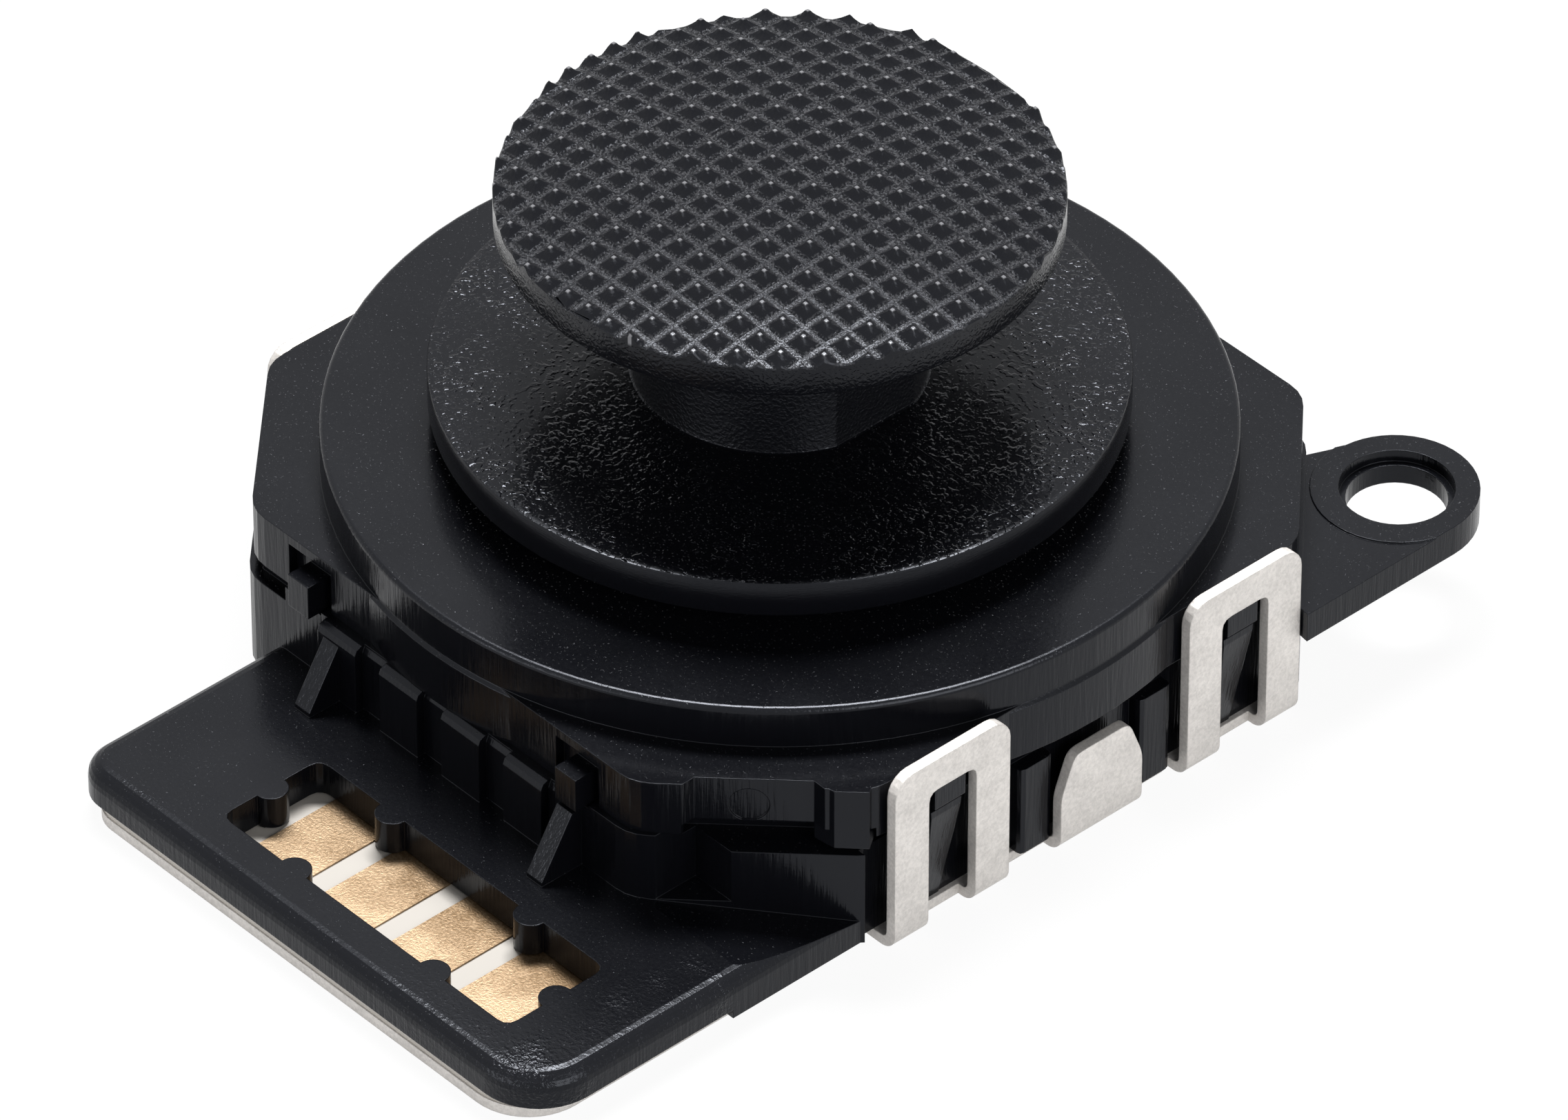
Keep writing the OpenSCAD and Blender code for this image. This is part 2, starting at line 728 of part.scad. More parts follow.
module ear() {
    translate([0, 0, ear_low])
        linear_extrude(ear_t)
            ear_shape();
    translate([0, 0, ear_z - over])
        linear_extrude(ear_boss_h + over)
            intersection() {
                ear_shape();
                translate([ear_x, ear_y])
                    circle(r = ear_boss_r - 0.1);
            }
}

module ear_hole() {
    translate([ear_x, ear_y, ear_low - over])
        cylinder(r = ear_hole_r, h = ear_t + 1);
    translate([ear_x, ear_y, ear_z - ear_recess_h])
        cylinder(r = ear_recess_r, h = ear_recess_h + 1);
}

// A post of the lower case beside the middle tab
module side_bar(y) {
    outline = rectangle(side_x - wedge_in, bar_out, y - bar_w / 2, y + bar_w / 2);
    prism(soft(outline, 0.15, 2), sheet_t, bar_top);
}

// Ramp of the lower case inside a clip's window: it leans out and widens upwards
module clip_wedge(y) {
    intersection() {
        side_prism([
            [y - wedge_foot, sheet_t], [y + wedge_foot, sheet_t],
            [y + hook_w / 2, seam_z], [y - hook_w / 2, seam_z]
        ], side_x - wedge_in, half_w + hook_proud);
        translate([0, y + hook_w, 0])
            rotate([90, 0, 0])
                linear_extrude(2 * hook_w)
                    polygon([
                        [side_x - wedge_in, sheet_t], [side_x + wedge_toe, sheet_t],
                        [half_w + wedge_out, seam_z - wedge_top], [half_w + wedge_out, seam_z],
                        [side_x - wedge_in, seam_z]
                    ]);
    }
}

// Ledges and guides for the two sliders, on one side; the other side is its mirror
module x_ledge() {
    stop = stops[0] + 0.2;
    difference() {
        block(-stop, stop, runner_ins[0] + fit_gap, cavity_half_d + over, sheet_t, x_slider_top + run_gap);
        block(-stops[0], stops[0], runner_ins[0], runner_outs[0] + run_gap, x_ledge_top, seam_z);
    }
}

module y_ledge() {
    stop = stops[1] + 0.2;
    difference() {
        block(runner_ins[1] + fit_gap, cavity_half_w + over, -stop, stop, sheet_t, seam_z);
        block(runner_ins[1], runner_outs[1] + run_gap, -stops[1], stops[1], y_ledge_top, seam_z + over);
    }
}

// Room for a spring that lies along X
module spring_room(length, z0, z1) {
    half_l = length / 2 + run_gap;
    half_t = spring_d / 2 + run_gap;
    block(-half_l, half_l, -half_t, half_t, z0, z1);
}

module film_outline(grow) {
    union() {
        polygon(chamfered(cavity_half_w + 0.3 + grow, cavity_half_d + 0.3 + grow, corner_leg));
        flange_outline(plate_inset + film_inset - grow, -half_d + wall, plate_side);
    }
}

module lower_case() {
    notch_x = half_w - corner_leg / 2 - 1.6;
    notch_y = -half_d + corner_leg / 2 - 0.45;
    notch = 4;
    lower_outline = chamfered(lower_half_w, lower_half_d, corner_leg + lower_proud);
    color([0.08, 0.08, 0.09])
        difference() {
            union() {
                difference() {
                    union() {
                        prism(soft(lower_outline, corner_soft), sheet_t, seam_z);
                        flange();
                        castellation();
                    }
                    cavity(sheet_t - over, seam_z + over);
                    // The clip sides are set back behind the steel
                    both_ways()
                        block(side_x, half_w + 2, -flat_half_d - 0.2, flat_half_d + 0.2,
                            sheet_t - over, seam_z + over);
                    // Room for the upper case's catches
                    for (x = catch_x)
                        block(x - catch_w / 2 - fit_gap, x + catch_w / 2 + fit_gap,
                            -half_d - 1, -half_d + catch_depth, catch_low, seam_z + over);
                    // The step outside the left corner
                    block(-half_w - 1, slot_x[0] - slot_half_w, -half_d - 1, -half_d + left_step,
                        corner_low_z, seam_z + over);
                    mirror([1, 0, 0])
                        on_front_corner()
                            block(-left_step, 2, -corner_leg, corner_leg, corner_low_z, seam_z + over);
                    // The notch and the low top of the front corner
                    block(notch_x, notch_x + notch, notch_y - notch, notch_y, flange_z, seam_z + over);
                    on_front_corner()
                        block(-corner_low_t, 2, -panel_end - 0.3, corner_leg, corner_low_z, seam_z + over);
                }
                both_ways()
                    x_ledge();
                both_ways()
                    y_ledge();
                for (side = [0, 1])
                    mirror([side, 0, 0])
                        for (y = bar_y)
                            side_bar(y);
                for (turn = [0, 180])
                    rotate([0, 0, turn])
                        for (side = [-1, 1])
                            clip_wedge(side * clip_y);
                ear();
            }
            window_cut();
            ear_hole();
            translate([0, -runner_mids[0], 0])
                spring_room(spring_lens[0], film_top, x_ledge_top + over);
            translate([-runner_mids[1], 0, 0])
                rotate([0, 0, 90])
                    spring_room(spring_lens[1], y_ledge_top - spring_d / 2 - run_gap, y_ledge_top + over);
            // The film lies in a shallow room under the case, which is open at the flange's edge
            translate([0, 0, sheet_t - over])
                linear_extrude(film_t + over)
                    film_outline(fit_gap);
            block(-drum_d, drum_d, flange_y - 1, -half_d - block_proud, 0, flange_low);
            // and the pads on it reach on under the window's edges
            block(pad_row_x - pad_count * pad_pitch / 2, pad_row_x + pad_count * pad_pitch / 2,
                pad_y - pad_l / 2 - fit_gap, pad_y + pad_l / 2 + fit_gap, sheet_t, print_top + wipe_gap);
        }
}

// A strip bent up from the plate's edge, standing at the +X side
module bent_strip(y0, y1, height, foot) {
    translate([0, y1, 0])
        rotate([90, 0, 0])
            linear_extrude(y1 - y0)
                union() {
                    translate([foot, 0])
                        square([clip_out - bend_r - foot, sheet_t]);
                    translate([clip_in, bend_r])
                        square([sheet_t, height - bend_r]);
                    intersection() {
                        translate([clip_out - bend_r, bend_r])
                            difference() {
                                circle(r = bend_r);
                                circle(r = bend_r - sheet_t);
                            }
                        translate([clip_out - bend_r, 0])
                            square([bend_r, bend_r]);
                    }
                }
}

module window_clip(y, height, foot) {
    half = clip_w / 2;
    window_half = clip_window_w / 2;
    difference() {
        bent_strip(y - half, y + half, height, foot);
        side_prism(soft(rectangle(y - window_half, y + window_half, -1, clip_window_top), 0.3),
            throat_x, clip_out + 1);
        for (side = [-1, 1])
            clip_corner(y + side * half, height, side);
    }
}

// What is cut off to round a clip's upper corner
module clip_corner(y, top, side) {
    r = clip_corner_r;
    arc = [for (k = [0 : 5]) let (a = 90 * k / 5) [y - side * r * (1 - cos(a)), top - r * (1 - sin(a))]];
    side_prism(concat([[y + side, top - r]], arc, [[y - side * r, top + 1], [y + side, top + 1]]),
        clip_in - sheet_t, clip_out + sheet_t);
}

module middle_tab(foot) {
    translate([0, tab_off, 0])
        intersection() {
            bent_strip(-tab_w / 2, tab_w / 2, tab_h, foot);
            side_prism(soft([
                [-tab_w / 2, -1], [tab_w / 2, -1], [tab_w / 2, tab_h * 0.6],
                [tab_top_w / 2, tab_h], [-tab_top_w / 2, tab_h], [-tab_w / 2, tab_h * 0.6]
            ], 0.25), 0, clip_out + 1);
        }
}

module base_plate() {
    edge = clip_in - bend_r - 0.2;
    notches = [for (side = [-1, 1]) for (half = [-clip_w / 2, clip_w / 2]) side * clip_y + half];
    color([0.8, 0.78, 0.76]) {
        difference() {
            linear_extrude(sheet_t)
                union() {
                    polygon(chamfered(edge, half_d - fit_gap, corner_leg));
                    polygon(rectangle(-throat_x, throat_x, -flat_half_d + 1, flat_half_d - 1));
                    flange_outline(plate_inset, -flat_half_d - 0.5, plate_side);
                }
            // Relief notches beside each bend
            both_ways()
                for (y = notches) {
                    translate([edge, y, -over])
                        cylinder(r = notch_r, h = sheet_t + 2 * over, $fn = 24);
                    block(edge, half_w + 1, y - notch_r, y + notch_r, -over, sheet_t + over);
                }
        }
        for (turn = [0, 1])
            rotate([0, 0, 180 * turn]) {
                for (side = [-1, 1])
                    window_clip(side * clip_y, clip_h - turn * clip_far_drop, edge - 1);
                middle_tab(edge - 1);
            }
    }
}

// A bar with a slot across it, on two runners; it moves along X. The index picks its sizes
module slider(z, k) {
    reach = post_half + travels[1 - k] + fit_gap;
    difference() {
        union() {
            block(-bars[k], bars[k], -runner_ins[k] - over, runner_ins[k] + over, z, z + slider_t);
            both_ways()
                block(-runners[k], runners[k], runner_ins[k], runner_outs[k], z, z + slider_t);
        }
        block(-slot_half, slot_half, -reach, reach, z - over, z + slider_t + over);
        translate([0, -runner_mids[k], 0])
            spring_room(spring_lens[k], z - over, z + spring_d / 2 + run_gap);
    }
}

module x_slider() {
    color([0.86, 0.85, 0.8])
        slider(x_slider_z, 0);
}

module y_slider() {
    leg_x = y_track_x + track_gap / 2;
    color([0.8, 0.8, 0.76]) {
        rotate([0, 0, -90])
            slider(y_slider_z, 1);
        // The leg that carries the wiper down to its track
        block(leg_x - leg_w / 2, leg_x + leg_w / 2, -leg_half, leg_half, x_slider_z, y_slider_z + over);
    }
}

// A sprung leaf with two fingers: fixed under its slider, its fingers run on two prints
module wiper(length) {
    top = x_slider_z;
    tip = print_top + wipe_gap;
    half = length / 2;
    color([0.85, 0.7, 0.42])
        for (y = [-track_gap / 2, track_gap / 2])
            translate([0, y + track_w / 2 - 0.1, 0])
                rotate([90, 0, 0])
                    linear_extrude(track_w - 0.2)
                        polygon([
                            [-half, top], [half, top], [half, top - wiper_t], [-half + 0.3, top - wiper_t],
                            [half - 0.55, tip + wiper_t], [half - 0.3, tip + wiper_t + 0.05],
                            [half - 0.3, tip + 0.05], [half - 0.55, tip], [-half, top - 2 * wiper_t]
                        ]);
    color([0.85, 0.7, 0.42])
        block(-half, -half + 0.35, -track_gap / 2, track_gap / 2, top - wiper_t, top);
}

module x_wiper() {
    translate([0, x_track_y, 0])
        wiper(2.4);
}

module y_wiper() {
    translate([y_track_x + track_gap / 2, 0, 0])
        rotate([0, 0, 90])
            wiper(2.4);
}

// A coil spring along X, with its two end turns laid close
module spring(length) {
    sides = 6;
    per_turn = 14;
    n = spring_turns * per_turn;
    r = (spring_d - spring_wire) / 2;
    reach = length - spring_wire;
    function place(k) =
        let (
            turn = k / per_turn,
            inner = spring_turns - 2,
            closed = spring_wire * 1.1,
            open = (reach - 2 * closed) / inner,
            x = turn < 1 ? turn * closed
                : turn > spring_turns - 1 ? closed + inner * open + (turn - spring_turns + 1) * closed
                : closed + (turn - 1) * open
        )
        [x - reach / 2, r * cos(360 * turn), r * sin(360 * turn)];
    points = [
        for (k = [0 : n])
            let (c = place(k), out = [0, cos(360 * k / per_turn), sin(360 * k / per_turn)])
            for (s = [0 : sides - 1])
                let (a = 360 * s / sides)
                c + out * spring_wire / 2 * cos(a) + [1, 0, 0] * spring_wire / 2 * sin(a)
    ];
    faces = [
        for (k = [0 : n - 1])
            for (s = [0 : sides - 1])
                let (a = k * sides + s, b = k * sides + (s + 1) % sides)
                [a, b, b + sides, a + sides]
    ];
    ends = [[for (s = [sides - 1 : -1 : 0]) s], [for (s = [0 : sides - 1]) n * sides + s]];
    polyhedron(points, concat(faces, ends), convexity = 10);
}

module x_spring() {
    color([0.7, 0.7, 0.7])
        translate([0, -runner_mids[0], x_ledge_top + run_gap / 2])
            spring(spring_lens[0]);
}

module y_spring() {
    color([0.7, 0.7, 0.7])
        translate([-runner_mids[1], 0, y_ledge_top + run_gap / 2])
            rotate([0, 0, 90])
                spring(spring_lens[1]);
}

module circuit_film() {
    color([0.9, 0.86, 0.8])
        translate([0, 0, sheet_t])
            linear_extrude(film_t)
                film_outline(0);
}

module print_strip(x0, x1, y0, y1) {
    block(x0, x1, y0, y1, film_top, print_top);
}

// A printed strip for a wiper's finger, along X or turned along Y
module finger_strip(x, y, half) {
    half_x = half[0] > 0 ? half[0] : track_w / 2;
    half_y = half[1] > 0 ? half[1] : track_w / 2;
    print_strip(x - half_x, x + half_x, y - half_y, y + half_y);
}

module x_track() {
    color([0.12, 0.12, 0.12])
        finger_strip(0, x_track_y - track_gap / 2, [travels[0] + track_spare, 0]);
}

module x_collector() {
    color([0.8, 0.65, 0.4])
        finger_strip(0, x_track_y + track_gap / 2, [travels[0] + track_spare, 0]);
}

module y_track() {
    color([0.12, 0.12, 0.12])
        finger_strip(y_track_x + track_gap, 0, [0, travels[1] + track_spare]);
}

module y_collector() {
    color([0.8, 0.65, 0.4])
        finger_strip(y_track_x, 0, [0, travels[1] + track_spare]);
}

module contact_pad(k) {
    x = pad_row_x + (k - (pad_count - 1) / 2) * pad_pitch;
    color([0.85, 0.72, 0.5])
        print_strip(x - pad_w / 2, x + pad_w / 2, pad_y - pad_l / 2, pad_y + pad_l / 2);
}

thumb_cap();
cover_disc();
stick_post();
upper_case();
lower_case();
base_plate();
x_slider();
y_slider();
x_wiper();
y_wiper();
x_spring();
y_spring();
circuit_film();
x_track();
y_track();
x_collector();
y_collector();
contact_pad(0);  // contact_pad_1
contact_pad(1);  // contact_pad_2
contact_pad(2);  // contact_pad_3
contact_pad(3);  // contact_pad_4
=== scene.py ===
import math
import bpy
import numpy as np
from mathutils import Matrix, Vector


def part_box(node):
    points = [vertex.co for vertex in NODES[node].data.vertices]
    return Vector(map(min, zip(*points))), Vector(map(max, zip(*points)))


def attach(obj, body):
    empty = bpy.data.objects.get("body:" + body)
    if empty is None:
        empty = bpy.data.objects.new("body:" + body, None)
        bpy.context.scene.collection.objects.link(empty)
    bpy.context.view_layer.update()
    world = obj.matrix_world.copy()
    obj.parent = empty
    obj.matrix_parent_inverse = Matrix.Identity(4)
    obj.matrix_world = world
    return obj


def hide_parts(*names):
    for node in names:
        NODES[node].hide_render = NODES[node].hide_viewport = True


bl_info = {
    "name": "Thumbstick module",
    "version": (1, 0, 0),
    "blender": (4, 5, 0),
    "location": "3D View > Sidebar > Thumbstick",
    "description": "Dresses a sliding thumbstick module's CAD frame and sets its stage",
    "category": "Object",
}

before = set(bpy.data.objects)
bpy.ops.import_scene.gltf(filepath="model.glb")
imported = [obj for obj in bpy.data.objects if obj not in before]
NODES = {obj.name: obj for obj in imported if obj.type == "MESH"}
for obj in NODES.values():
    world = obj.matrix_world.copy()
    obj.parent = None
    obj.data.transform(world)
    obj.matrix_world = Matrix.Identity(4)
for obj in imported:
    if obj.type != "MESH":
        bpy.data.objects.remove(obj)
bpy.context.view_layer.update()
MM = 0.001


def span(node):
    """Lowest and highest corner of a CAD node, in millimetres."""
    low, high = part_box(node)
    return np.array(low) / MM, np.array(high) / MM


CAP_LOW, CAP_HIGH = span("thumb_cap")
DISC_LOW, DISC_HIGH = span("cover_disc")


class Value:
    """A number that varies over a surface: arithmetic on it adds the Math nodes."""

    def __init__(self, shader, socket):
        self.shader = shader
        self.socket = socket

    def _with(self, operation, *values):
        return self.shader.node("ShaderNodeMath", {"operation": operation}, values)["Value"]

    def __add__(self, other):
        return self._with("ADD", self, other)

    def __sub__(self, other):
        return self._with("SUBTRACT", self, other)

    def __rsub__(self, other):
        return self._with("SUBTRACT", other, self)

    def __mul__(self, other):
        return self._with("MULTIPLY", self, other)

    def __truediv__(self, other):
        return self._with("DIVIDE", self, other)

    def __pow__(self, other):
        return self._with("POWER", self, other)

    __radd__ = __add__
    __rmul__ = __mul__

    def clamped(self):
        return self._with("MINIMUM", self._with("MAXIMUM", self, 0.0), 1.0)

    def ramp(self, low, high):
        """0 below low, 1 above high, straight between them."""
        return ((self - low) / (high - low)).clamped()

    def absolute(self):
        return self._with("ABSOLUTE", self)

    def off(self, pitch, shift):
        """Distance from the nearest line of a row of lines a pitch apart."""
        turns = (self - shift) / pitch
        return (turns - self._with("ROUND", turns)).absolute() * pitch

    def larger(self, other):
        return self._with("MAXIMUM", self, other)


class Outputs:
    """A node's outputs by name, each ready for arithmetic."""

    def __init__(self, shader, node):
        self.shader = shader
        self.node = node

    def __getitem__(self, name):
        return Value(self.shader, self.node.outputs[name])


class Shader:
    """Builds one material's nodes."""

    def __init__(self, name):
        self.material = bpy.data.materials.new(name)
        self.material.use_nodes = True
        self.tree = self.material.node_tree
        self.tree.nodes.clear()

    def node(self, kind, settings=None, sockets=None):
        made = self.tree.nodes.new(kind)
        for key, value in (settings or {}).items():
            if key == "stops":
                self._stops(made, value)
            else:
                setattr(made, key, value)
        pairs = sockets.items() if isinstance(sockets, dict) else enumerate(sockets or ())
        for key, value in pairs:
            if isinstance(value, Value):
                self.tree.links.new(value.socket, made.inputs[key])
            else:
                made.inputs[key].default_value = value
        return Outputs(self, made)

    @staticmethod
    def _stops(made, stops):
        elements = made.color_ramp.elements
        while len(elements) < len(stops):
            elements.new(0.5)
        for element, (place, colour) in zip(elements, stops):
            element.position = place
            element.color = colour

    def place(self):
        """Object coordinates in millimetres, as a vector."""
        coords = self.node("ShaderNodeTexCoord")["Object"]
        return self.node("ShaderNodeVectorMath", {"operation": "SCALE"}, {0: coords, "Scale": 1000.0})["Vector"]

    def axes(self, vector):
        parts = self.node("ShaderNodeSeparateXYZ", None, [vector])
        return parts["X"], parts["Y"], parts["Z"]

    def noise(self, vector, scale, detail=2.0, roughness=0.5, stretch=None):
        if stretch:
            vector = self.node("ShaderNodeVectorMath", {"operation": "MULTIPLY"}, [vector, stretch])["Vector"]
        return self.node("ShaderNodeTexNoise", None,
                         {"Vector": vector, "Scale": scale, "Detail": detail, "Roughness": roughness})["Fac"]

    def mix(self, factor, one, other):
        """A colour between two colours."""
        return self.node("ShaderNodeMix", {"data_type": "RGBA"}, {0: factor, 6: one, 7: other}).node

    def colour(self, factor, one, other):
        return Value(self, self.mix(factor, one, other).outputs[2])

    def normal(self, height, distance, strength=1.0, edge=0.0):
        sockets = {"Height": height, "Distance": distance, "Strength": strength}
        if edge > 0:
            sockets["Normal"] = self.node("ShaderNodeBevel", {"samples": 6}, {"Radius": edge})["Normal"]
        return self.node("ShaderNodeBump", None, sockets)["Normal"]

    def finish(self, sockets):
        shader = self.node("ShaderNodeBsdfPrincipled", None, sockets)["BSDF"]
        self.node("ShaderNodeOutputMaterial", None, {"Surface": shader})
        return self.material


def rgba(colour):
    return (*colour, 1.0)


def dress(obj, material):
    obj.data.materials.clear()
    obj.data.materials.append(material)
    return obj


PAINTED_GLINT_GREY = (0.2, 0.2, 0.21)


def plastic(name, colour, rough, relief, edge=0.0):
    """Black moulded plastic: its relief gives a height in millimetres, added gloss, and a painted highlight from 0
    to 1, which lightens the colour towards a grey.
    """
    s = Shader(name)
    p = s.place()
    x, y, z = s.axes(s.node("ShaderNodeNewGeometry")["Normal"])
    height, gloss, painted_glint = relief(s, p, z.absolute().ramp(0.5, 0.9))
    broad = s.noise(p, 0.35, 3.0)
    fine = s.noise(p, 12.0, 2.0, 0.6)
    # Painted highlight: the base colour is lightened towards grey where the relief paints glints on tips, sparkles
    # and specks.
    return s.finish({
        "Base Color": s.colour(painted_glint.clamped(), rgba(colour), rgba(PAINTED_GLINT_GREY)),
        "Roughness": rough + (broad - 0.5) * 0.12 + (fine - 0.5) * 0.1 - gloss,
        "Normal": s.normal(height, MM, 1.0, edge * MM),
        "Specular IOR Level": 0.22,
        "Specular Tint": (0.86, 0.9, 1.0, 1.0),
    })


def cap_relief(shape):
    """Grainy grooves, finer grain on the flanks and the neck, smooth tips; the tips and the groove sparkles are
    painted lighter as highlights.
    """
    pitch, foot = shape.pitch / MM, (shape.pitch - shape.groove) / 2 / MM
    top = (shape.lip + shape.lip_height) / MM

    def relief(s, p, flat):
        x, y, z = s.axes(p)
        off = x.off(pitch, shape.shift_x / MM).larger(y.off(pitch, shape.shift_y / MM))
        knurled = z.ramp(top - 0.1, top)
        tip = (1.0 - off.ramp(0.035, 0.06)) * knurled
        groove = off.ramp(foot - 0.08, foot - 0.02) * knurled
        noise = s.noise(p, 15.0, 2.0, 0.6)
        sparkle = noise.ramp(0.46, 0.6) * groove * knurled
        grain = noise * knurled * (0.008 - tip * 0.008) + sparkle * 0.01
        leather = s.noise(p, 11.0, 1.0, 0.5).ramp(0.4, 0.65) * (1.0 - knurled)
        # The third value is painted highlight: lighter colour on the tips and on the sparkles in the grooves.
        return grain + leather * 0.006, tip * 0.1, sparkle * 0.22 + tip * 0.9

    return relief


def disc_relief(s, p, flat):
    """Pebbles in patches on the top, fine specks that are bumped and painted lighter as glints, and streaks round
    the rim.
    """
    patches = s.noise(p, 0.5, 3.0).ramp(0.4, 0.58)
    pebbles = s.noise(p, 7.0, 0.5, 0.5).ramp(0.52, 0.66) * flat * (patches * 0.7 + 0.3)
    speck_and_glint = s.noise(p, 16.0, 1.0).ramp(0.66, 0.74) * flat
    streaks = s.noise(p, 4.0, 2.0, 0.6, stretch=(1.0, 1.0, 12.0)) * (1.0 - flat)
    # The third value paints the specks lighter as glints: painted highlight.
    return pebbles * 0.014 + speck_and_glint * 0.007 + streaks * 0.004, patches * 0.02, speck_and_glint * 0.12


def case_relief(s, p, flat):
    """Fine specks on the tops, bumped and painted lighter as glints, streaks down the walls and a worn band along
    the flange's edges.
    """
    speck_and_glint = s.noise(p, 16.0, 1.0).ramp(0.68, 0.76) * flat
    fine = s.noise(p, 9.0, 2.0, 0.6) * 0.002
    lines = (s.noise(p, 9.0, 2.0, 0.6, stretch=(1.0, 1.0, 0.07)) - 0.5) * (1.0 - flat)
    worn = s.noise(p, 8.0, 2.0, 0.6).ramp(0.4, 0.7) * flange_border(s, p)
    patches = s.noise(p, 0.3, 2.0).ramp(0.45, 0.6)
    # The third value paints the specks lighter as glints: painted highlight.
    return fine + speck_and_glint * 0.006 + lines * 0.014 + worn * (patches * 0.016 + 0.002), lines * -0.2, speck_and_glint * 0.06


def flange_border(s, p):
    """1 on the worn band along the flange's edges, 0 inside it and on the rest of the case."""
    x, y, z = s.axes(p)
    low, high = span("circuit_film")
    side = (x - (low[0] + high[0]) / 2).absolute().ramp((high[0] - low[0]) / 2 - 1.5, (high[0] - low[0]) / 2 - 0.5)
    near = (0.0 - y).ramp(-low[1] - 1.6, -low[1] - 0.7)
    here = (0.0 - y).ramp(11.4, 11.8)
    return (side + near * 0.2).clamped() * here


def steel(name, colour):
    """Stamped sheet with a speckled matte face."""
    s = Shader(name)
    p = s.place()
    speckle = s.noise(p, 11.0, 3.0, 0.65)
    mottle = s.noise(p, 1.2, 2.0)
    tint = s.colour((speckle.ramp(0.35, 0.65) * 0.6 + mottle.ramp(0.3, 0.7) * 0.4),
                    rgba([c * 0.78 for c in colour]), rgba([min(1.0, c * 1.12) for c in colour]))
    return s.finish({
        "Base Color": tint,
        "Metallic": 0.35,
        "Roughness": 0.42 + speckle * 0.16,
        "Normal": s.normal(speckle, 0.012 * MM, 1.0, 0.05 * MM),
    })


def plain(name, colour, rough, metallic=0.0):
    s = Shader(name)
    return s.finish({"Base Color": rgba(colour), "Roughness": rough, "Metallic": metallic})


def gold(name, colour):
    """Plated pads, mottled, with painted shade that darkens them towards the back of the window."""
    s = Shader(name)
    p = s.place()
    x, y, z = s.axes(p)
    fleck = s.noise(p, 13.0, 4.0, 0.7)
    # Painted shade: the pads darken towards the back wall of the window.
    painted_shade = y.ramp(-15.6, -13.4)
    worn = s.noise(p, 0.9, 3.0, 0.6).ramp(0.4, 0.6)
    tint = s.colour((fleck.ramp(0.42, 0.6) * 0.45 + painted_shade * 0.7 + worn * 0.4 - 0.25).clamped(),
                    rgba(colour), rgba([c * shade for c, shade in zip(colour, (0.38, 0.33, 0.26))]))
    return s.finish({
        "Base Color": tint,
        "Metallic": 0.75,
        "Roughness": 0.2 + fleck * 0.3,
        "Normal": s.normal(fleck, 0.01 * MM),
    })


def shown(name, points, faces, body, angle=32):
    """A new smooth piece, in millimetres, that rides on a CAD body."""
    mesh = bpy.data.meshes.new(name)
    mesh.from_pydata([tuple(float(c) * MM for c in p) for p in points], [], faces)
    mesh.validate()
    for face in mesh.polygons:
        face.use_smooth = True
    mesh.set_sharp_from_angle(angle=math.radians(angle))
    obj = bpy.data.objects.new(name, mesh)
    bpy.context.collection.objects.link(obj)
    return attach(obj, body)


def rings(points, faces, first, outlines, closed=True):
    """Adds outlines of the same count of points, each joined to the one before."""
    count = len(outlines[0])
    previous = first
    for outline in outlines:
        start = len(points)
        points.extend(outline)
        if previous is not None:
            for k in range(count if closed else count - 1):
                n = (k + 1) % count
                faces.append((previous[k], previous[n], start + n, start + k))
        previous = [start + k for k in range(count)]
    return previous


